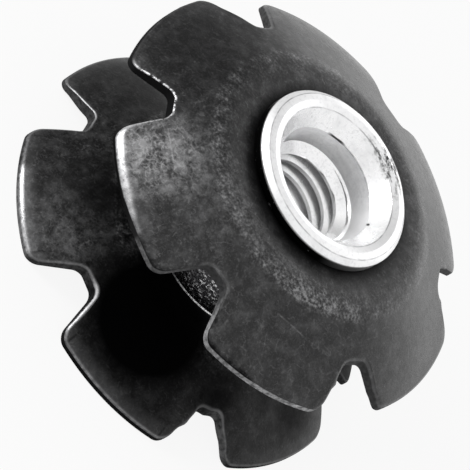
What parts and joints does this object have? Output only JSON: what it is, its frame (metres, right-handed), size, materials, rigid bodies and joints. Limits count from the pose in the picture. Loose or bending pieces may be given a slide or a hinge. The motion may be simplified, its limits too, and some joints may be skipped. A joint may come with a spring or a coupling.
{
  "type": "headset star nut",
  "caption": "Dished, notched spring-steel stars swaged onto a threaded aluminium sleeve with a flared mouth; grips inside a steerer tube and takes the headset preload bolt.",
  "frame": {"origin": "on the nut's axis, at the level of the lower star's fin tips, on which the nut stands", "axes": "+Z along the axis towards the flared mouth of the sleeve; -Y towards the side that the picture shows nearest"},
  "size_m": [0.0248, 0.0248, 0.0127],
  "materials": {
    "black_steel": "black oxide, semi-gloss, fine grain",
    "bright_aluminium": "turned and swaged, bright"
  },
  "bodies": {
    "root": {"upper_star": "black_steel", "lower_star": "black_steel", "threaded_sleeve": "bright_aluminium"}
  },
  "joints": []
}
